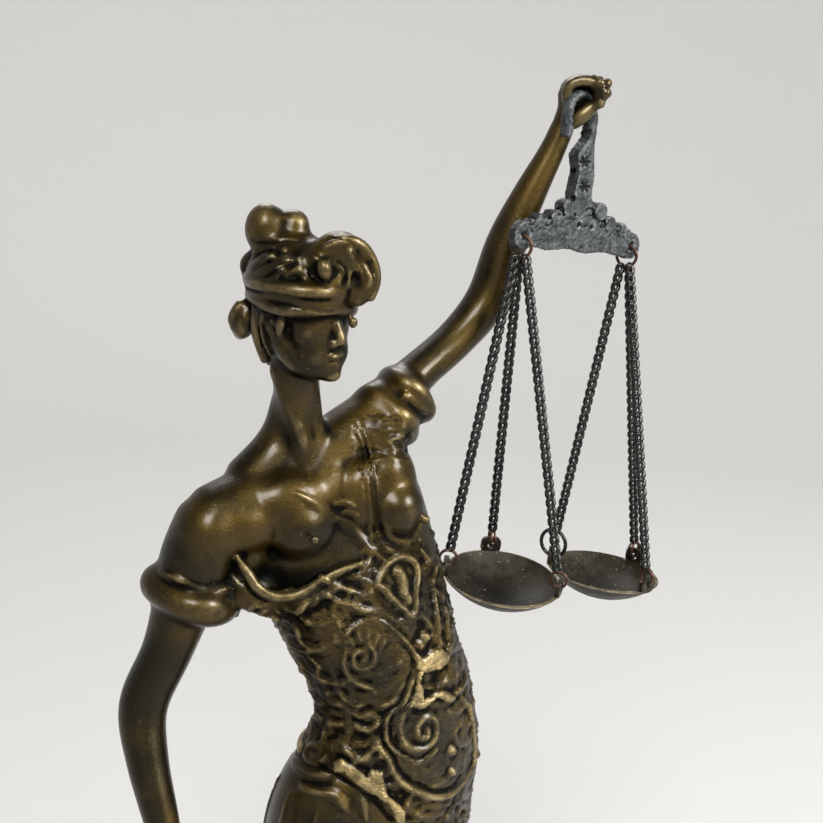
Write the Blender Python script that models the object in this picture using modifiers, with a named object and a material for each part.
"""Lady justice statue: a blindfolded bronze figure on a low stone base, with scales and a lowered sword.

Units are metres, +Z is up, and the origin is the middle of the base's underside. The figure faces -Y, so her
raised left arm is on the +X side. The figure is a free form: its points are shares of its own height.
"""

import math

import bmesh
import bpy
from mathutils import Matrix, Vector

# Figure: its points, and every size of the scales, are counted in shares of its height
FIGURE_HEIGHT = 0.306       # from the foot plate's underside to the top of the raised hand
SHARES_IN_HEIGHT = 306.0
SHARE = FIGURE_HEIGHT / SHARES_IN_HEIGHT
FIGURE_GRAIN = 0.7 * SHARE  # size of the cells in which the clay forms are merged
FIGURE_TRIANGLES = 5000

# Base
BASE_HEIGHT = 0.024
BASE_RADIUS = 0.052
BASE_TOP_RADIUS = 0.044
BASE_STEP = 0.007           # height of the lower step
BASE_ROUNDING = 0.003
SEAT_GAP = 0.0003           # between pieces that rest on or in each other

# Scales: the hanger
BEAM_HOLE_SPAN = 33.8 * SHARE  # from ring hole to ring hole
BEAM_THICKNESS = 3.0 * SHARE
BEAM_TILT = 7.0                # degrees, the +X end hangs lower
BEAM_LOBE_RADIUS = 3.1 * SHARE
BEAM_HOLE_RADIUS = 1.3 * SHARE
SHAFT_HEIGHT = 28.0 * SHARE    # from the beam's middle to the spring of the hook
SHAFT_FOOT_WIDTH = 5.6 * SHARE
SHAFT_TOP_WIDTH = 1.8 * SHARE
SHAFT_THICKNESS = 3.6 * SHARE
HOOK_RADIUS = 3.4 * SHARE      # to the middle of the bar
HOOK_LEG = 5.6 * SHARE
HOOK_BAR = 1.8 * SHARE
BEAM_END_RISE = 2.2 * SHARE    # of the plate's upper edge above the line of the holes, at its ends
BEAM_CROWN_RISE = 3.6 * SHARE  # more in the middle
BEAM_DROP = 2.4 * SHARE
BEAM_WAVE = 0.4 * SHARE        # of the lower edge
BEAM_SCROLLS = ((0.76, 3.4, 1.8), (0.50, 4.4, 2.1), (0.30, 7.0, 2.4))   # along, height, radius in shares
SHAFT_FOOT = 4.0 * SHARE
SHAFT_TAPER = 0.4 * SHARE
SHAFT_WAVE = 0.2 * SHARE
SHAFT_NECK = 0.62              # where the shaft narrows to the hook, from its foot to its top
SHAFT_NECK_END = 0.75
HOOK_ROOT = 4.0 * SHARE        # of the hook inside the shaft
HOOK_INSET = 0.3 * SHARE       # of the hook's bar behind the shaft's front
HANGER_TRIANGLES = 700
HANGER_GRAIN = 0.36 * SHARE

# Scales: rings, chains and pans
RING_WIRE_RADIUS = 0.36 * SHARE
BEAM_RING_RADIUS = 2.4 * SHARE
PAN_RING_RADIUS = 1.9 * SHARE
LARGE_RING_RADIUS = 3.3 * SHARE
LARGE_RING = ("left", "a")
CHAIN_WIDTH = 1.9 * SHARE
CHAIN_THICKNESS = 1.1 * SHARE
LINK_PITCH = 3.3 * SHARE
CHAIN_HEAD_SPREAD = 1.75 * SHARE  # of the three chains under a beam ring, each from the middle
PAN_DROPS = {"right": 77.7 * SHARE, "left": 79.1 * SHARE}     # from a beam hole down to the pan's rim
PAN_RADIUS = 13.5 * SHARE
PAN_DEPTH = 5.8 * SHARE
PAN_WALL = 0.8 * SHARE
EAR_WIDTH = 4.6 * SHARE
EAR_HEIGHT = 4.0 * SHARE
EAR_HOLE_RADIUS = 1.1 * SHARE
EAR_MIDDLE = Vector((PAN_RADIUS - PAN_WALL / 2, 0.0, EAR_HEIGHT - EAR_WIDTH / 2))   # of an ear on +X
PAN_LEANS = {"right": (-89, 9.0), "left": (-40, 6.0)}    # degrees: the way a pan hangs low, and how far
EAR_TURNS = {"right": (143, 61, -58), "left": (133, 7, -86)}    # degrees about +Z, by the side of the figure

# Sword
SWORD_LENGTH = 0.108
GRIP_LENGTH = 0.016
GRIP_RADIUS = 0.0017
GUARD_WIDTH = 0.021
GUARD_THICKNESS = 0.0026
BLADE_WIDTH = 0.0062
BLADE_THICKNESS = 0.0019
POMMEL_RADIUS = 0.0028
POINT_LENGTH = 0.014
TIP_SIZE = 0.0005           # half size of the sword's two blunt ends

FOOT_LEVEL = BASE_HEIGHT + SEAT_GAP

CORNERS = ((-1, -1), (1, -1), (1, 1), (-1, 1))

# Places that the arms and the pieces in the hands share, in shares from the foot plate's underside
HANGER_CENTRE = (44.6, -10.5, 270.9)
FIST_CENTRE = (42.6, -10.1, 302.3)
ARM_BOXES = {    # the space of each arm outside its sleeve: lowest and highest corner
    "right_arm": ((-80.0, -40.0, 110.0), (-33.0, 40.0, 192.5)),
    "left_arm": ((14.8, -40.0, 225.0), (80.0, 40.0, 320.0)),
}
SWORD_GRIP = (-50.5, -12.5, 129.5)
SWORD_POINT = (0.05, -0.06, -1.0)


def clear_scene():
    for thing in list(bpy.data.objects):
        bpy.data.objects.remove(thing, do_unlink=True)
    for mesh in list(bpy.data.meshes):
        bpy.data.meshes.remove(mesh)


def at(x, y, z):
    """A point of the figure, from shares to metres."""
    return Vector((x, y, z)) * SHARE + Vector((0.0, 0.0, FOOT_LEVEL))


def make_material(name, colour, roughness, metallic):
    material = bpy.data.materials.new(name)
    material.use_nodes = True
    shader = material.node_tree.nodes["Principled BSDF"]
    shader.inputs["Base Color"].default_value = (*colour, 1.0)
    shader.inputs["Roughness"].default_value = roughness
    shader.inputs["Metallic"].default_value = metallic
    return material


def add_object(name, bm, material, collection):
    """A finished piece from its bmesh, shaded smooth except across sharp edges."""
    mesh = bpy.data.meshes.new(name)
    bm.to_mesh(mesh)
    bm.free()
    piece = bpy.data.objects.new(name, mesh)
    collection.objects.link(piece)
    if material is not None:
        mesh.materials.append(material)
    mesh.shade_smooth()
    mesh.set_sharp_from_angle(angle=math.radians(40))
    return piece


# Clay forms


def between(values, where):
    """A smooth curve through a list of equal-length tuples, read at a place from 0 to len - 1."""
    last = len(values) - 1
    index = min(int(where), last - 1)
    t = where - index
    before = values[max(index - 1, 0)]
    here, after = values[index], values[index + 1]
    beyond = values[min(index + 2, last)]
    result = []
    for p0, p1, p2, p3 in zip(before, here, after, beyond):
        bend = (2 * p0 - 5 * p1 + 4 * p2 - p3) * t * t + (3 * p1 - p0 - 3 * p2 + p3) * t * t * t
        result.append(0.5 * (2 * p1 + (p2 - p0) * t + bend))
    return result


def finer(values, steps):
    """The same curve with steps rows for each stretch between two rows."""
    count = (len(values) - 1) * steps
    return [between(values, i / steps) for i in range(count + 1)]


def skin(bm, rings, capped=True):
    """Joins rings of the same number of vertices into one closed skin."""
    for lower, upper in zip(rings, rings[1:]):
        for i in range(len(lower)):
            j = (i + 1) % len(lower)
            bm.faces.new((lower[i], lower[j], upper[j], upper[i]))
    if capped:
        bm.faces.new(list(reversed(rings[0])))
        bm.faces.new(rings[-1])


def cross_directions(points, index, side):
    """The two directions across a path at one of its points, the first as near to side as it can be."""
    ahead = points[min(index + 1, len(points) - 1)] - points[max(index - 1, 0)]
    ahead.normalize()
    across = (side - ahead * side.dot(ahead)).normalized()
    return across, ahead.cross(across)


def body_frame(stations, centres, index):
    """The middle of the body at a station, and its directions to her left and to her back."""
    turn = math.radians(stations[index][6])
    across, rear = cross_directions(centres, index, Vector((math.cos(turn), math.sin(turn), 0.0)))
    return centres[index], across, rear


def on_body(turn, height, lift=0.0):
    """A point on the dress, in shares, from a turn towards her left, a height and a lift off the skin."""
    stations = finer(BODY, 8)
    centres = [at(*station[:3]) for station in stations]
    index = min(range(len(stations)), key=lambda i: abs(stations[i][2] - height))
    centre, across, rear = body_frame(stations, centres, index)
    half_width, front, back = stations[index][3:6]
    angle = math.radians(turn - 90)
    depth = front if math.sin(angle) < 0 else back
    outward = (across * math.cos(angle) / half_width + rear * math.sin(angle) / depth).normalized()
    offset = across * half_width * math.cos(angle) + rear * depth * math.sin(angle) + outward * lift
    place = centre + offset * SHARE
    return (place - Vector((0.0, 0.0, FOOT_LEVEL))) / SHARE


def body_loft(bm, stations, sides, flute=None):
    """A loft of ovals along the body. A station is x, y, z, half width, front depth, back depth, turn."""
    stations = finer(stations, 4)
    centres = [at(*station[:3]) for station in stations]
    rings = []
    for index, station in enumerate(stations):
        half_width, front, back = station[3:6]
        centre, across, rear = body_frame(stations, centres, index)
        ring = []
        for i in range(sides):
            angle = 2 * math.pi * i / sides
            depth = front if math.sin(angle) < 0 else back
            swell = 1.0 + (flute(angle, station[2]) if flute else 0.0)
            offset = across * half_width * math.cos(angle) + rear * depth * math.sin(angle)
            ring.append(bm.verts.new(centre + offset * swell * SHARE))
        rings.append(ring)
    skin(bm, rings)


def limb(bm, stations, sides=10, flat=1.0, side=(1.0, 0.0, 0.0), steps=3):
    """A tapering tube with round ends. A station is x, y, z, radius; flat squeezes it across side."""
    stations = finer(stations, steps)
    first, last = stations[0], stations[-1]
    centres = [at(*station[:3]) for station in stations]
    radii = [station[3] * SHARE for station in stations]
    start = (centres[0] - centres[1]).normalized() * first[3] * SHARE * 0.6
    end = (centres[-1] - centres[-2]).normalized() * last[3] * SHARE * 0.6
    centres = [centres[0] + start] + centres + [centres[-1] + end]
    radii = [radii[0] * 0.55] + radii + [radii[-1] * 0.55]
    rings = []
    for index, (centre, radius) in enumerate(zip(centres, radii)):
        across, deep = cross_directions(centres, index, Vector(side))
        ring = []
        for i in range(sides):
            angle = 2 * math.pi * i / sides
            offset = across * math.cos(angle) + deep * math.sin(angle) * flat
            ring.append(bm.verts.new(centre + offset * radius))
        rings.append(ring)
    skin(bm, rings)


def lump(bm, centre, radii, turn=0.0, lean=0.0):
    """An egg of clay: its three radii, then a turn about +Z and a lean about its own front axis."""
    place = Matrix.Translation(at(*centre))
    place = place @ Matrix.Rotation(math.radians(turn), 4, "Z") @ Matrix.Rotation(math.radians(lean), 4, "Y")
    place = place @ Matrix.Diagonal((*[radius * SHARE for radius in radii], 1.0))
    bmesh.ops.create_icosphere(bm, subdivisions=3, radius=1.0, matrix=place)


def roll(bm, centre, axis, ring_radius, wire_radius, flat=1.0, count=16):
    """A rolled band round an axis; flat squeezes the ring from front to back."""
    axis = Vector(axis).normalized()
    across = (Vector((1.0, 0.0, 0.0)) - axis * axis.x).normalized()
    other = axis.cross(across)
    rings = []
    for i in range(count):
        angle = 2 * math.pi * i / count
        outward = across * math.cos(angle) + other * math.sin(angle)
        middle = Vector(centre) + (across * math.cos(angle) + other * math.sin(angle) * flat) * ring_radius
        ring = []
        for j in range(8):
            turn = math.pi * j / 4
            offset = (outward * math.cos(turn) + axis * math.sin(turn)) * wire_radius
            ring.append(bm.verts.new(at(*(middle + offset))))
        rings.append(ring)
    skin(bm, rings + rings[:1], capped=False)


# The figure's forms


# x, y, z, half width, front depth, back depth, turn
BODY = (
    (0.0, 2.0, -2.0, 29.4, 24.4, 24.4, 0.0),
    (0.0, 2.0, 14.0, 25.0, 20.5, 21.0, 0.0),
    (0.0, 1.5, 42.0, 20.5, 16.5, 17.0, 0.0),
    (-0.8, 0.0, 80.0, 20.5, 15.5, 16.0, 0.0),
    (-1.8, -2.0, 115.0, 24.0, 15.5, 18.0, 0.0),
    (-2.0, -3.2, 141.0, 26.2, 16.4, 19.0, 0.0),
    (0.9, -4.6, 156.0, 23.6, 15.8, 16.0, -1.0),
    (1.6, -5.2, 167.0, 20.2, 14.8, 13.5, -2.0),
    (0.3, -5.2, 176.0, 18.3, 13.6, 12.3, -3.0),
    (-2.4, -4.0, 186.0, 18.3, 13.2, 12.7, -5.0),
    (-5.5, -1.5, 196.0, 19.8, 13.2, 13.5, -8.0),
    (-7.7, 1.5, 205.0, 20.8, 12.8, 13.0, -10.0),
    (-9.9, 4.0, 214.0, 20.6, 11.5, 11.5, -12.0),
    (-13.0, 5.0, 221.5, 17.5, 9.5, 9.5, -10.0),
    (-16.0, 5.5, 227.0, 11.0, 7.3, 7.5, -6.0),
    (-17.3, 5.5, 232.0, 6.4, 6.0, 6.3, 0.0),
)
# x, y, z, radius
NECK = (
    (-16.5, 6.0, 224.0, 7.6),
    (-17.8, 5.5, 231.0, 5.9),
    (-18.8, 4.6, 238.0, 5.1),
    (-19.4, 4.0, 245.0, 5.1),
    (-19.8, 4.0, 252.0, 6.0),
)
SHOULDERS = (
    (-38.0, 7.0, 216.5, 7.0),
    (-27.0, 6.0, 220.0, 7.0),
    (-17.0, 5.0, 223.5, 7.2),
    (-7.0, 3.5, 229.5, 7.0),
    (2.0, 2.2, 235.0, 6.2),
)
RIGHT_ARM = (
    (-37.6, 7.0, 217.2, 7.0),
    (-40.3, 8.5, 208.1, 7.5),
    (-42.7, 9.5, 199.6, 6.2),
    (-45.9, 11.0, 188.7, 5.1),
    (-51.0, 12.0, 177.4, 4.9),
    (-52.4, 8.0, 167.3, 4.2),
    (-52.4, 3.2, 157.5, 3.6),
    (-52.0, -1.5, 147.0, 2.9),
    (-51.2, -4.5, 140.0, 2.8),
)
LEFT_ARM = (
    (0.0, 2.5, 234.5, 6.6),
    (5.3, 1.5, 238.5, 5.4),
    (10.5, 1.5, 242.6, 4.3),
    (20.5, 1.0, 249.1, 4.2),
    (28.4, 0.0, 257.4, 4.6),
    (31.8, -1.6, 269.5, 4.4),
    (35.3, -3.7, 279.5, 3.6),
    (39.8, -5.9, 289.8, 2.7),
    (42.1, -6.8, 295.7, 2.5),
)


def pleats(angle, height):
    """Folds of the skirt, deepest at the hem and gone above the knee."""
    depth = max(0.0, 1.0 - height / 118.0) ** 1.2
    wave = math.sin(13 * angle + 0.6 * math.sin(3 * angle)) + 0.45 * math.sin(7 * angle + 1.3)
    return 0.075 * depth * wave


def add_dress(bm):
    body_loft(bm, BODY, 72, flute=pleats)
    # the knee of the free leg presses the cloth forward, and the toes show under the hem
    lump(bm, (-9.0, -8.0, 84.0), (9.0, 9.5, 20.0))
    for x, y in ((-9.0, -23.0), (8.0, -22.0)):
        lump(bm, (x, y, 3.6), (4.4, 8.0, 4.0))
    # foot plate, with its rolled edge
    lump(bm, (0.0, 2.0, 0.4), (28.0, 26.0, 3.4))
    roll(bm, (0.0, 2.0, 1.4), (0, 0, 1), 27.5, 2.6, flat=0.93, count=32)
    # swags of cloth that fall from the hip
    for i in range(3):
        drop = 15.0 * i
        route = ((-74, 136 - 0.6 * drop), (-38, 124 - drop), (6, 116 - 1.1 * drop), (62, 128 - drop))
        cord(bm, route, 2.2, lift=0.0)


def add_shoulders(bm):
    limb(bm, SHOULDERS, sides=14)
    limb(bm, NECK, sides=14)
    # collar bones
    limb(bm, ((-34.0, 2.0, 219.5, 1.7), (-25.0, -0.4, 222.5, 1.9), (-18.5, -0.6, 224.5, 1.6)))
    limb(bm, ((-16.0, -1.4, 225.5, 1.6), (-8.0, -2.4, 228.5, 1.9), (0.0, -1.6, 234.0, 1.7)))
    # breasts, low and wide, with the slope of the chest above them
    lump(bm, (-22.5, -3.5, 213.5), (9.0, 7.6, 8.4), turn=-12)
    lump(bm, (-21.5, 0.0, 218.5), (9.0, 6.5, 8.0), turn=-12)
    lump(bm, (-5.0, -7.2, 215.5), (7.6, 7.6, 7.8), turn=-10)
    lump(bm, (-6.5, -2.6, 221.5), (7.4, 6.2, 8.6), turn=-10)
    lump(bm, (-23.6, -10.4, 213.6), (1.9, 1.9, 1.8))
    lump(bm, (-0.6, -15.4, 214.0), (2.3, 2.6, 1.9))
    # flesh and cloth of the right armpit
    lump(bm, (-31.0, 4.5, 208.0), (6.0, 6.5, 9.0))


def add_arms(bm):
    limb(bm, RIGHT_ARM, sides=14)
    limb(bm, LEFT_ARM, sides=14)


def add_sleeves(bm):
    # rolled cuff below the bare right shoulder, then the slack cloth that runs from it to the bodice
    roll(bm, (-41.0, 9.0, 200.0), (-0.30, 0.12, -0.95), 7.6, 2.9, flat=0.95)
    limb(bm, ((-36.0, 3.0, 199.5, 3.0), (-31.5, 0.5, 202.5, 2.4), (-28.0, -2.0, 204.0, 2.2)))
    # short rolled sleeve of the raised arm
    limb(bm, ((-2.0, 2.2, 231.0, 7.4), (2.2, 1.8, 234.6, 7.2), (6.4, 1.4, 238.0, 6.4)), sides=14)
    roll(bm, (7.9, 1.0, 239.0), (0.75, -0.05, 0.66), 5.7, 1.8)


def cord(bm, route, radius, lift=0.3):
    """A raised line on the dress, from points given as a turn from the front and a height."""
    places = [on_body(turn, height, lift) for turn, height in route]
    limb(bm, [(*place, radius) for place in places], sides=8)


def boss(bm, turn, height, radii, lift=0.0, lean=0.0):
    """A raised egg on the dress."""
    lump(bm, on_body(turn, height, lift), radii, turn=turn, lean=lean)


def arch(turn, height, width, drop, start=0, end=180, steps=8):
    """Points of a hanging arc on the dress, from one side of its middle to the other."""
    route = []
    for i in range(steps + 1):
        angle = math.radians(start + (end - start) * i / steps)
        route.append((turn - width * math.cos(angle), height - drop * math.sin(angle)))
    return route


def add_bodice(bm):
    # neckline bands and the cord of the strap meet between the breasts
    limb(bm, ((-26.0, -8.4, 216.5, 1.2), (-15.5, -10.6, 210.0, 1.6), (-9.0, -12.6, 203.0, 1.6)))
    limb(bm, ((-3.0, -2.5, 236.0, 1.6), (-7.0, -7.6, 225.5, 1.5), (-11.0, -10.4, 214.0, 1.5),
              (-9.0, -12.6, 205.0, 1.4)))
    # gathered cloth under each breast
    for i in range(2):
        cord(bm, ((-62, 205 - 5 * i), (-38, 202 - 4.2 * i), (-14, 203 - 4 * i)), 1.5)
        cord(bm, ((52, 203 - 5 * i), (38, 201 - 4 * i), (20, 203 - 4 * i)), 1.4, lift=0.0)
    # shield under the bust
    boss(bm, 6, 198, (4.2, 2.4, 6.6), lean=12)
    # shell with its coil on her right, and its plain twin on her left
    for middle in (-27, 62):
        boss(bm, middle, 187, (5.4, 2.2, 6.4), lift=-0.4)
        cord(bm, arch(middle + 2, 187, 21, -8.5, start=-50, end=230, steps=10), 1.3)
    # strapwork, scrolls and buttons down the front
    cord(bm, ((8, 185), (-4, 181), (-14, 177)), 1.5)
    cord(bm, ((10, 185), (17, 180), (24, 175)), 1.5)
    for side in (-1, 1):
        cord(bm, arch(12 + 18 * side, 171.5, 12, 5.5, start=-20, end=200, steps=8), 1.4)
    for height in (190.0, 164.0, 158.5):
        boss(bm, 15, height, (1.7, 1.7, 1.7))
    # hanging border of the apron
    cord(bm, arch(16, 171.0, 52, 17.5, steps=12), 1.5)
    # hip strap, rosette and the band that carries it
    for side in (-1, 1):
        middle = 14 + 76 * side
        boss(bm, middle, 163.0, (4.6, 3.0, 4.8), lift=-0.6)
        cord(bm, arch(middle, 164.0, 26, 6.8, steps=8), 1.3)
        cord(bm, ((middle - 22 * side, 164), (middle - 34 * side, 160), (middle - 50 * side, 156),
                  (middle - 62 * side, 150), (middle - 68 * side, 143)), 1.5)
        cord(bm, ((middle, 160), (middle - 12 * side, 173), (middle - 6 * side, 184)), 1.4)
    cord(bm, ((176, 160), (140, 161), (112, 162)), 1.3)
    cord(bm, ((-176, 160), (-140, 161), (-104, 162)), 1.3)
    # lacing seams of the back
    for turn in (-150, 180, 150):
        cord(bm, ((turn, 206), (turn, 190), (turn, 172)), 1.3)


def add_head(bm):
    # skull, face and chin; the face is turned a little to her left
    lump(bm, (-20.0, 4.0, 262.5), (9.2, 10.6, 11.0), turn=12, lean=6)
    lump(bm, (-17.8, -2.4, 255.0), (6.6, 5.6, 9.6), turn=12)
    lump(bm, (-17.3, -4.6, 248.0), (3.2, 3.0, 3.2), turn=12)
    limb(bm, ((-16.6, -7.0, 259.0, 0.9), (-16.2, -8.2, 254.8, 1.2)), steps=2)
    lump(bm, (-16.7, -7.2, 251.0), (1.9, 0.9, 0.9), turn=12)
    # blindfold: two folds round the head and the knot behind
    for height, radius, wire in ((263.6, 9.7, 1.8), (260.3, 9.3, 1.7)):
        roll(bm, (-19.8, 2.8, height), (0.10, 0.0, 1.0), radius, wire, flat=1.12, count=20)
    lump(bm, (-26.8, 12.0, 256.0), (2.5, 2.3, 4.2), lean=15)
    limb(bm, ((-24.0, 12.5, 257.0, 1.5), (-21.5, 13.0, 251.0, 1.3), (-20.5, 12.5, 246.0, 0.8)))


def add_hair(bm):
    # two-lobed bun, waves of the crown, the front curl with its hollow, and the nape locks
    lump(bm, (-24.3, 8.5, 274.4), (4.2, 4.2, 5.2))
    lump(bm, (-20.6, 5.5, 275.6), (3.3, 3.1, 3.3))
    for i in range(7):
        angle = math.radians(150 + 38 * i)
        x, y = -20.5 + 8.3 * math.cos(angle), 4.0 + 8.8 * math.sin(angle)
        limb(bm, ((x, y, 265.5, 1.7), (0.55 * x - 9.6, 0.55 * y + 2.4, 270.6, 1.8), (-22.5, 7.0, 273.5, 1.5)))
    limb(bm, ((-23.0, -3.5, 268.0, 2.0), (-19.2, -6.2, 271.8, 2.3), (-15.0, -7.8, 271.6, 2.5),
              (-12.8, -8.8, 267.0, 2.1), (-13.6, -8.8, 263.0, 1.7)))
    lump(bm, (-22.3, -6.6, 268.2), (2.0, 2.0, 3.0))
    lump(bm, (-15.2, -7.6, 258.8), (1.1, 1.1, 1.3))
    lump(bm, (-17.0, -5.4, 267.4), (4.4, 3.0, 4.0), turn=20)
    for i in range(5):
        x = -26.4 + 2.2 * i
        limb(bm, ((x, 8.6 + 0.7 * i, 258.5, 1.5), (x + 1.0, 9.4 + 0.5 * i, 252.5, 1.4),
                  (x + 2.0, 8.6 + 0.2 * i, 246.0, 0.9)))


def add_hands(bm):
    # raised left fist: its tunnel runs towards her right front, with four fingers side by side round it
    tunnel, outward = Vector((-0.64, -0.76, 0.0)), Vector((0.766, -0.643, 0.0))
    middle = Vector(FIST_CENTRE)

    def in_fist(along, out, up, radius):
        return (*(middle + tunnel * along + outward * out + Vector((0, 0, up))), radius)

    limb(bm, (LEFT_ARM[-1], in_fist(-2.0, -1.4, -3.0, 2.7), in_fist(-1.8, -2.0, 0.4, 2.4)))
    for i in range(4):
        along = 1.0 - 1.9 * i
        limb(bm, (in_fist(along, -2.4, -1.5, 1.3), in_fist(along, -2.2, 1.4, 1.35),
                  in_fist(along, 0.2, 2.7, 1.4), in_fist(along, 2.9, 2.6, 1.3),
                  in_fist(along, 5.0, 0.6, 1.35), in_fist(along, 4.3, -1.9, 1.25),
                  in_fist(along, 2.4, -3.0, 1.1)), steps=2)
    thumb = (in_fist(0.4, -0.6, -6.4, 1.6), in_fist(1.2, 1.2, -4.4, 1.5), in_fist(1.0, 3.0, -3.0, 1.2))
    limb(bm, thumb, steps=2)
    # lowered right fist, closed round the grip of the sword
    limb(bm, (RIGHT_ARM[-1], (-50.9, -7.4, 135.6, 3.5), (-50.6, -9.2, 130.0, 3.5)), flat=0.8)
    x, y, z = SWORD_GRIP
    for i in range(4):
        level = z + 4.6 - 2.5 * i
        limb(bm, ((x - 2.8, y + 3.2, level, 1.4), (x - 3.5, y - 1.4, level, 1.5),
                  (x + 0.2, y - 3.6, level - 0.2, 1.5), (x + 3.3, y - 0.8, level - 0.2, 1.4)), steps=2)
    thumb = ((x + 1.6, y + 5.0, z + 5.2, 1.6), (x + 3.2, y + 1.4, z + 4.6, 1.5),
             (x + 1.6, y - 3.8, z + 2.6, 1.3))
    limb(bm, thumb, steps=2)


# Castings


def cast(name, bm, grain, triangles, collection):
    """Merges overlapping clay forms into one skin, eases it and thins it to a number of triangles."""
    rough = add_object(name + "_clay", bm, None, collection)
    merge = rough.modifiers.new("merge", "REMESH")
    merge.mode = "VOXEL"
    merge.voxel_size = grain
    merge.use_smooth_shade = True
    ease = rough.modifiers.new("ease", "SMOOTH")
    ease.factor = 0.5
    ease.iterations = 1
    graph = bpy.context.evaluated_depsgraph_get()
    merged = bpy.data.meshes.new_from_object(rough.evaluated_get(graph))
    count = sum(len(face.vertices) - 2 for face in merged.polygons)
    rough.data = merged
    rough.modifiers.clear()
    thin = rough.modifiers.new("thin", "DECIMATE")
    thin.ratio = triangles / count
    thin.use_collapse_triangulate = True
    graph = bpy.context.evaluated_depsgraph_get()
    graph.update()
    thinned = bpy.data.meshes.new_from_object(rough.evaluated_get(graph))
    bpy.data.objects.remove(rough, do_unlink=True)
    result = bmesh.new()
    result.from_mesh(thinned)
    return result


def cut_flat(bm, height):
    """Cuts a closed skin flat below a height and closes the cut."""
    everything = bm.verts[:] + bm.edges[:] + bm.faces[:]
    bmesh.ops.bisect_plane(bm, geom=everything, plane_co=(0, 0, height), plane_no=(0, 0, -1),
                           clear_outer=True)
    rim = [edge for edge in bm.edges if edge.is_boundary]
    bmesh.ops.holes_fill(bm, edges=rim)
    bmesh.ops.triangulate(bm, faces=[face for face in bm.faces if len(face.verts) > 3])


def cut_with(piece, cutter):
    cut = piece.modifiers.new("cut_" + cutter.name, "BOOLEAN")
    cut.operation = "DIFFERENCE"
    cut.solver = "EXACT"
    cut.object = cutter


def add_cutter(name, bm, cutters):
    cutter = add_object(name, bm, None, cutters)
    cutter.hide_render = True
    cutter.display_type = "WIRE"
    return cutter


def box_mesh(low, high, margin=0.0):
    """A box between two points of the figure, in shares, grown by a margin in metres."""
    bm = bmesh.new()
    low, high = at(*low), at(*high)
    size = high - low + Vector((2 * margin,) * 3)
    place = Matrix.Translation((low + high) / 2) @ Matrix.Diagonal((*size, 1.0))
    bmesh.ops.create_cube(bm, size=1.0, matrix=place)
    return bm


def make_figure(material, collection, cutters):
    """The casting, and its two arms as nodes of their own from just outside the sleeves on."""
    clay = bmesh.new()
    forms = (add_dress, add_shoulders, add_arms, add_sleeves, add_bodice, add_head, add_hair, add_hands)
    for add_forms in forms:
        add_forms(clay)
    bm = cast("figure", clay, FIGURE_GRAIN, FIGURE_TRIANGLES, collection)
    cut_flat(bm, FOOT_LEVEL)
    # the hook and the grip run through the fists with a running clearance
    hook_room, grip_room = bmesh.new(), bmesh.new()
    hook_bar(hook_room, 2 * SEAT_GAP)
    sword_grip(grip_room, SEAT_GAP)
    rooms = {"left_arm": add_cutter("hook_room", hook_room, cutters),
             "right_arm": add_cutter("grip_room", grip_room, cutters)}
    figure = add_object("figure", bm.copy(), material, collection)
    for name, (low, high) in ARM_BOXES.items():
        arm = add_object(name, bm.copy(), material, collection)
        keep = arm.modifiers.new("keep_arm", "BOOLEAN")
        keep.operation = "INTERSECT"
        keep.solver = "EXACT"
        keep.object = add_cutter(name + "_side", box_mesh(low, high), cutters)
        cut_with(arm, rooms[name])
        cut_with(figure, add_cutter(name + "_room", box_mesh(low, high, SEAT_GAP), cutters))
    bm.free()


# Base


def make_base(material, collection):
    """Turned stone: a profile down its outer side, spun round +Z."""
    profile = [(0.0, BASE_HEIGHT), (BASE_TOP_RADIUS - BASE_ROUNDING, BASE_HEIGHT)]
    for i in range(1, 3):
        angle = math.radians(90 - 45 * i)
        profile.append((BASE_TOP_RADIUS - BASE_ROUNDING + BASE_ROUNDING * math.cos(angle),
                        BASE_HEIGHT - BASE_ROUNDING + BASE_ROUNDING * math.sin(angle)))
    middle = (BASE_STEP + BASE_HEIGHT) / 2
    neck = BASE_TOP_RADIUS - BASE_ROUNDING
    bevel = BASE_ROUNDING / 2
    profile += [(neck, middle), (BASE_TOP_RADIUS, BASE_STEP + bevel), (BASE_TOP_RADIUS, BASE_STEP)]
    profile += [(BASE_RADIUS - bevel, BASE_STEP), (BASE_RADIUS, BASE_STEP - bevel)]
    profile += [(BASE_RADIUS, 0.0), (0.0, 0.0)]
    bm = bmesh.new()
    verts = [bm.verts.new((r, 0.0, z)) for r, z in profile]
    for first, second in zip(verts, verts[1:]):
        bm.edges.new((first, second))
    base = add_object("base", bm, material, collection)
    turn = base.modifiers.new("turn", "SCREW")
    turn.axis = "Z"
    turn.steps = 28
    turn.render_steps = 28
    turn.use_merge_vertices = True
    turn.merge_threshold = 0.00001
    turn.use_smooth_shade = True
    return base


# Hanger of the scales


def hanger_point(x, z, y=0.0):
    return at(*HANGER_CENTRE) + Vector((x, y, z))


def beam_point(x, z):
    """A point on the beam, whose +X end hangs lower."""
    tilt = math.radians(BEAM_TILT)
    return hanger_point(x * math.cos(tilt) + z * math.sin(tilt), z * math.cos(tilt) - x * math.sin(tilt))


def hook_path():
    """From the top of the shaft, over the arch and down the leg."""
    arch = HOOK_RADIUS
    spring = SHAFT_HEIGHT
    shaft_x = SHAFT_FOOT_WIDTH / 2 - SHAFT_TOP_WIDTH / 2 - SHAFT_TAPER
    points = [hanger_point(shaft_x, spring - HOOK_ROOT)]
    for i in range(9):
        angle = math.pi * i / 8
        points.append(hanger_point(shaft_x - arch + arch * math.cos(angle), spring + arch * math.sin(angle)))
    points.append(hanger_point(shaft_x - 2 * arch, spring - HOOK_LEG))
    return points


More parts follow.
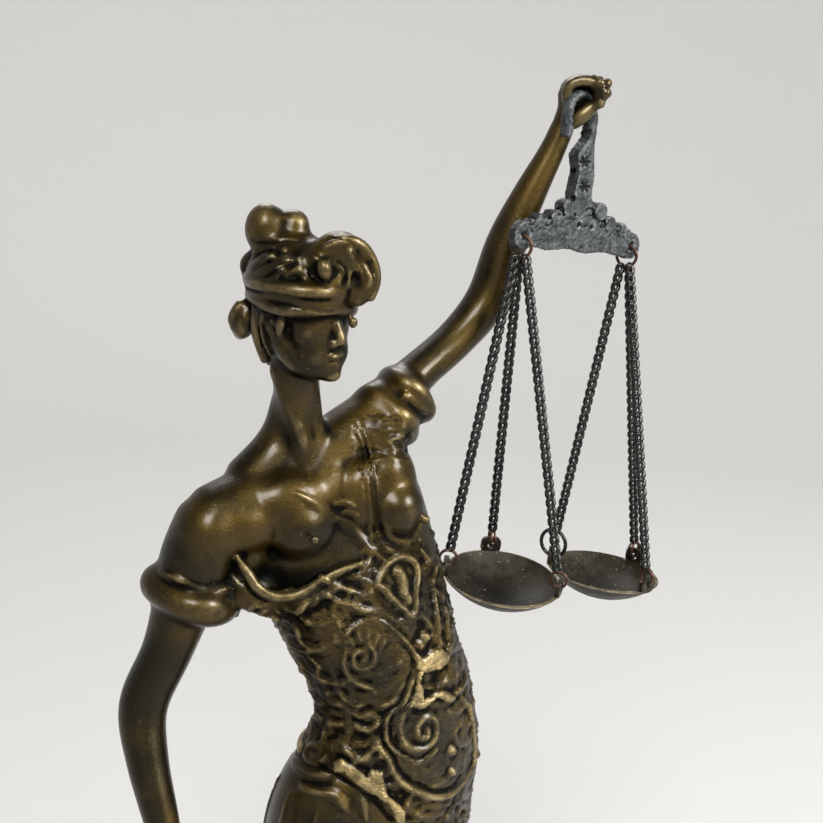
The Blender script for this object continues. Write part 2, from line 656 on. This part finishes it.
def tube_skin(bm, points, radius, sides):
    rings = []
    for index, point in enumerate(points):
        across, deep = cross_directions(points, index, Vector((0.0, 1.0, 0.001)))
        ring = []
        for i in range(sides):
            angle = 2 * math.pi * (i + 0.5) / sides
            ring.append(bm.verts.new(point + (across * math.cos(angle) + deep * math.sin(angle)) * radius))
        rings.append(ring)
    skin(bm, rings)


def hook_bar(bm, clearance=0.0):
    """The hook's own bar, or with a clearance the room that it needs."""
    points = hook_path()
    rings = []
    for index, point in enumerate(points):
        deep, across = cross_directions(points, index, Vector((0.0, 1.0, 0.0)))
        half_width = HOOK_BAR / 2 + clearance
        half_depth = SHAFT_THICKNESS / 2 - HOOK_INSET + clearance
        ring = []
        for i in range(8):
            angle = math.radians(45 * i + 22.5)
            c, s = math.cos(angle), math.sin(angle)
            offset = deep * math.copysign(abs(c) ** 0.5, c) * half_depth
            offset += across * math.copysign(abs(s) ** 0.5, s) * half_width
            ring.append(bm.verts.new(point + offset))
        rings.append(ring)
    if clearance:
        # the room runs on past the hook's two ends
        for ring, step in ((rings[0], -1), (rings[-1], -1)):
            for vert in ring:
                vert.co.z += step * HOOK_ROOT
    skin(bm, rings)


def make_hanger(material, collection, cutters):
    bm = bmesh.new()
    half = BEAM_HOLE_SPAN / 2
    # plate of the beam: high in the middle, with round lobes at the ends
    points, widths = [], []
    for i in range(13):
        x = -half + BEAM_HOLE_SPAN * i / 12
        crown = math.cos(x / half * math.pi / 2)
        top = BEAM_END_RISE + BEAM_CROWN_RISE * crown
        bottom = -BEAM_DROP - BEAM_WAVE * math.sin(9 * x / half)
        points.append((x, (top + bottom) / 2))
        widths.append(top - bottom)
    rings = []
    for (x, z), height in zip(points, widths):
        ring = []
        for y_sign, z_sign in CORNERS:
            corner = beam_point(x, z + z_sign * height / 2)
            ring.append(bm.verts.new(corner + Vector((0.0, y_sign * BEAM_THICKNESS / 2 * 0.85, 0.0))))
        rings.append(ring)
    skin(bm, rings)
    for side in (-1, 1):
        disc(bm, beam_point(side * half, 0.0), BEAM_LOBE_RADIUS, BEAM_THICKNESS * 0.8)
        # scrolls on the beam's upper edge and at the foot of the shaft
        for along, up, radius in BEAM_SCROLLS:
            disc(bm, beam_point(side * half * along, up * SHARE), radius * SHARE, BEAM_THICKNESS * 1.15)
    # shaft with its wavy left edge
    rings = []
    for i in range(15):
        t = i / 14
        z = SHAFT_FOOT + (SHAFT_HEIGHT - SHAFT_FOOT) * t
        right = SHAFT_FOOT_WIDTH / 2 + SHAFT_WAVE * math.cos(14 * t) - SHAFT_TAPER * t
        taper = min(1.0, max(0.0, (t - SHAFT_NECK) / (SHAFT_NECK_END - SHAFT_NECK)))
        width = SHAFT_FOOT_WIDTH * (1 - 0.10 * t) * (1 - taper) + SHAFT_TOP_WIDTH * taper
        left = right - width + 1.5 * SHAFT_WAVE * math.sin(16 * t)
        ring = []
        for x, y_sign in ((left, -1), (right, -1), (right, 1), (left, 1)):
            ring.append(bm.verts.new(hanger_point(x, z, y_sign * SHAFT_THICKNESS / 2)))
        rings.append(ring)
    skin(bm, rings)
    hook_bar(bm)
    skin_bm = cast("scale_beam", bm, HANGER_GRAIN, HANGER_TRIANGLES, collection)
    hanger = add_object("scale_beam", skin_bm, material, collection)
    for name, side in (("right", -1), ("left", 1)):
        hole = bmesh.new()
        disc(hole, beam_point(side * half, 0.0), BEAM_HOLE_RADIUS, BEAM_THICKNESS * 3, sides=14)
        cut_with(hanger, add_cutter("beam_hole_" + name, hole, cutters))
    return hanger


def disc(bm, centre, radius, thickness, sides=16):
    """A short cylinder across the hanger's plane."""
    turn = Matrix.Rotation(math.radians(90), 4, "X")
    bmesh.ops.create_cone(bm, cap_ends=True, segments=sides, radius1=radius, radius2=radius, depth=thickness,
                          matrix=Matrix.Translation(centre) @ turn)


# Rings, chains and pans


def make_ring(name, centre, normal, radius, material, collection):
    """A closed wire ring: a torus by spinning its wire's section."""
    bm = bmesh.new()
    normal = Vector(normal).normalized()
    across = normal.orthogonal().normalized()
    sides, turns = 5, 9
    rings = []
    for i in range(turns):
        outward = Matrix.Rotation(2 * math.pi * i / turns, 3, normal) @ across
        ring = []
        for j in range(sides):
            angle = 2 * math.pi * j / sides
            offset = outward * (radius + RING_WIRE_RADIUS * math.cos(angle))
            ring.append(bm.verts.new(centre + offset + normal * RING_WIRE_RADIUS * math.sin(angle)))
        rings.append(ring)
    skin(bm, rings + rings[:1], capped=False)
    bmesh.ops.recalc_face_normals(bm, faces=bm.faces[:])
    return add_object(name, bm, material, collection)


def make_chain(name, top, bottom, material, collection):
    """A curb chain as one bar, notched at the pitch of its links, each link turned across the last."""
    bm = bmesh.new()
    run = bottom - top
    links = max(2, round(run.length / LINK_PITCH))
    ahead = run.normalized()
    across = Vector((1.0, 0.0, 0.0)) - ahead * ahead.x
    across.normalize()
    deep = ahead.cross(across)
    rings = []
    for i in range(links + 1):
        half_sizes = (CHAIN_WIDTH / 2, CHAIN_THICKNESS / 2)
        half_across, half_deep = half_sizes if i % 2 else reversed(half_sizes)
        centre = top + run * i / links
        rings.append([bm.verts.new(centre + across * x_sign * half_across + deep * y_sign * half_deep)
                      for x_sign, y_sign in CORNERS])
    skin(bm, rings)
    bmesh.ops.recalc_face_normals(bm, faces=bm.faces[:])
    return add_object(name, bm, material, collection)


def pan_place(rim_centre, side_name):
    """Where a pan hangs: the middle of its rim, leaned a little to one side."""
    low_side, lean = (math.radians(angle) for angle in PAN_LEANS[side_name])
    axis = Vector((-math.sin(low_side), math.cos(low_side), 0.0))
    return Matrix.Translation(rim_centre) @ Matrix.Rotation(lean, 4, axis)


def make_pan(name, place, ear_turns, material, collection, cutters):
    """A shallow bowl with a true wall, open above, and three upright ears on its rim."""
    bm = bmesh.new()
    outer = (PAN_RADIUS ** 2 + PAN_DEPTH ** 2) / (2 * PAN_DEPTH)
    inner = outer - PAN_WALL
    steps, sides = 3, 18
    profile = []
    for i in range(1, steps + 1):
        angle = math.asin(PAN_RADIUS / outer) * i / steps
        profile.append((outer * math.sin(angle), outer - PAN_DEPTH - outer * math.cos(angle)))
    profile.append((PAN_RADIUS - PAN_WALL, 0.0))
    for i in range(steps - 1, 0, -1):
        angle = math.asin((PAN_RADIUS - PAN_WALL) / inner) * i / steps
        profile.append((inner * math.sin(angle), outer - PAN_DEPTH - inner * math.cos(angle)))
    rings = []
    for radius, height in profile:
        ring = []
        for i in range(sides):
            angle = 2 * math.pi * i / sides
            point = Vector((radius * math.cos(angle), radius * math.sin(angle), height))
            ring.append(bm.verts.new(place @ point))
        rings.append(ring)
    skin(bm, rings)
    pan = add_object(name, bm, material, collection)
    for index, turn in enumerate(ear_turns):
        ear = bmesh.new()
        rim_plug(ear, place, turn, EAR_WIDTH / 2, PAN_WALL * 1.3, sides=11)
        join = pan.modifiers.new(f"join_ear_{index}", "BOOLEAN")
        join.operation = "UNION"
        join.solver = "EXACT"
        join.object = add_cutter(f"{name}_ear_{index}", ear, cutters)
    for index, turn in enumerate(ear_turns):
        hole = bmesh.new()
        rim_plug(hole, place, turn, EAR_HOLE_RADIUS, PAN_WALL * 4, sides=8)
        cut_with(pan, add_cutter(f"{name}_ear_hole_{index}", hole, cutters))
    return pan


def rim_plug(bm, place, turn, radius, thickness, sides):
    """A round plug through a pan's rim, level with the middle of an ear."""
    upright = Matrix.Rotation(math.radians(turn), 4, "Z") @ Matrix.Translation(EAR_MIDDLE)
    upright = upright @ Matrix.Rotation(math.radians(90), 4, "Y")
    bmesh.ops.create_cone(bm, cap_ends=True, segments=sides, radius1=radius, radius2=radius, depth=thickness,
                          matrix=place @ upright)


def make_scales(materials, collection, cutters):
    make_hanger(materials["pewter"], collection, cutters)
    half = BEAM_HOLE_SPAN / 2
    for side_name, side in (("right", -1), ("left", 1)):
        hole = beam_point(side * half, 0.0)
        ring_centre = hole - Vector((0.0, 0.0, BEAM_RING_RADIUS))
        make_ring("beam_ring_" + side_name, ring_centre, (1.0, 0.0, 0.0), BEAM_RING_RADIUS,
                  materials["copper"], collection)
        ring_foot = ring_centre - Vector((0.0, 0.0, BEAM_RING_RADIUS + RING_WIRE_RADIUS + SEAT_GAP))
        rim_centre = hole - Vector((0.0, 0.0, PAN_DROPS[side_name]))
        turns = EAR_TURNS[side_name]
        place = pan_place(rim_centre, side_name)
        make_pan("pan_" + side_name, place, turns, materials["pan_bronze"], collection, cutters)
        for letter, turn in zip(("a", "b", "c"), turns):
            angle = math.radians(turn)
            outward = Vector((math.cos(angle), math.sin(angle), 0.0))
            tangent = Vector((-math.sin(angle), math.cos(angle), 0.0))
            ear_hole = place @ Matrix.Rotation(angle, 4, "Z") @ EAR_MIDDLE
            lean = (ring_foot - ear_hole).normalized()
            radius = LARGE_RING_RADIUS if (side_name, letter) == LARGE_RING else PAN_RING_RADIUS
            centre = ear_hole + lean * radius
            make_ring(f"pan_ring_{side_name}_{letter}", centre, tangent, radius,
                      materials["copper"], collection)
            foot = centre + lean * (radius + RING_WIRE_RADIUS + SEAT_GAP)
            head = ring_foot + outward * CHAIN_HEAD_SPREAD
            make_chain(f"chain_{side_name}_{letter}", head, foot, materials["gunmetal"], collection)


# Sword


def sword_frame():
    """The grip's middle and the direction of the point."""
    return at(*SWORD_GRIP), Vector(SWORD_POINT).normalized()


def sword_grip(bm, clearance=0.0):
    middle, point = sword_frame()
    half = GRIP_LENGTH / 2 + 2 * clearance
    tube_skin(bm, [middle - point * half, middle + point * half], GRIP_RADIUS + clearance, 12)


def make_sword(material, collection):
    middle, point = sword_frame()
    flat = Vector((0.0, 1.0, 0.0)) - point * point.y
    flat.normalize()
    bm = bmesh.new()
    # one skin from the pommel to the tip: each row is a place along the sword, half width, half thickness
    half_grip = GRIP_LENGTH / 2
    rows = [(-half_grip - 2 * POMMEL_RADIUS, TIP_SIZE, TIP_SIZE)]
    for i in range(1, 6):
        angle = math.pi * i / 6
        size = POMMEL_RADIUS * math.sin(angle)
        rows.append((-half_grip - POMMEL_RADIUS * (1 + math.cos(angle)), size, size))
    for end in (-half_grip + SEAT_GAP, half_grip - SEAT_GAP):
        rows.append((end, GRIP_RADIUS, GRIP_RADIUS))
    rows += [(half_grip, GUARD_WIDTH / 2, GUARD_THICKNESS / 2)]
    rows += [(half_grip + GUARD_THICKNESS, GUARD_WIDTH / 2, GUARD_THICKNESS / 2)]
    rows += [(half_grip + GUARD_THICKNESS + SEAT_GAP, BLADE_WIDTH / 2, BLADE_THICKNESS / 2)]
    blade_end = SWORD_LENGTH - half_grip - 2 * POMMEL_RADIUS
    rows += [(blade_end - POINT_LENGTH, BLADE_WIDTH * 0.4, BLADE_THICKNESS / 2)]
    rows += [(blade_end, TIP_SIZE, TIP_SIZE)]
    rings = []
    across = point.cross(flat)
    for along, half_width, half_thick in rows:
        ring = []
        for i in range(8):
            angle = math.radians(45 * i)
            offset = flat * math.cos(angle) * half_width + across * math.sin(angle) * half_thick
            ring.append(bm.verts.new(middle + point * along + offset))
        rings.append(ring)
    skin(bm, rings)
    bmesh.ops.recalc_face_normals(bm, faces=bm.faces[:])
    return add_object("sword", bm, material, collection)


def main():
    clear_scene()
    scene = bpy.context.scene
    statue = bpy.data.collections.new("lady_justice_statue")
    cutters = bpy.data.collections.new("cutters")
    scene.collection.children.link(statue)
    scene.collection.children.link(cutters)
    materials = {
        "bronze": make_material("bronze", (0.075, 0.048, 0.018), 0.36, 1.0),
        "blade_bronze": make_material("blade_bronze", (0.16, 0.11, 0.05), 0.34, 1.0),
        "marble": make_material("marble", (0.02, 0.02, 0.022), 0.25, 0.0),
        "pewter": make_material("pewter", (0.12, 0.13, 0.14), 0.5, 1.0),
        "copper": make_material("copper", (0.30, 0.13, 0.08), 0.35, 1.0),
        "gunmetal": make_material("gunmetal", (0.06, 0.06, 0.065), 0.4, 1.0),
        "pan_bronze": make_material("pan_bronze", (0.06, 0.05, 0.035), 0.45, 1.0),
    }
    make_figure(materials["bronze"], statue, cutters)
    make_base(materials["marble"], statue)
    make_sword(materials["blade_bronze"], statue)
    make_scales(materials, statue, cutters)


main()
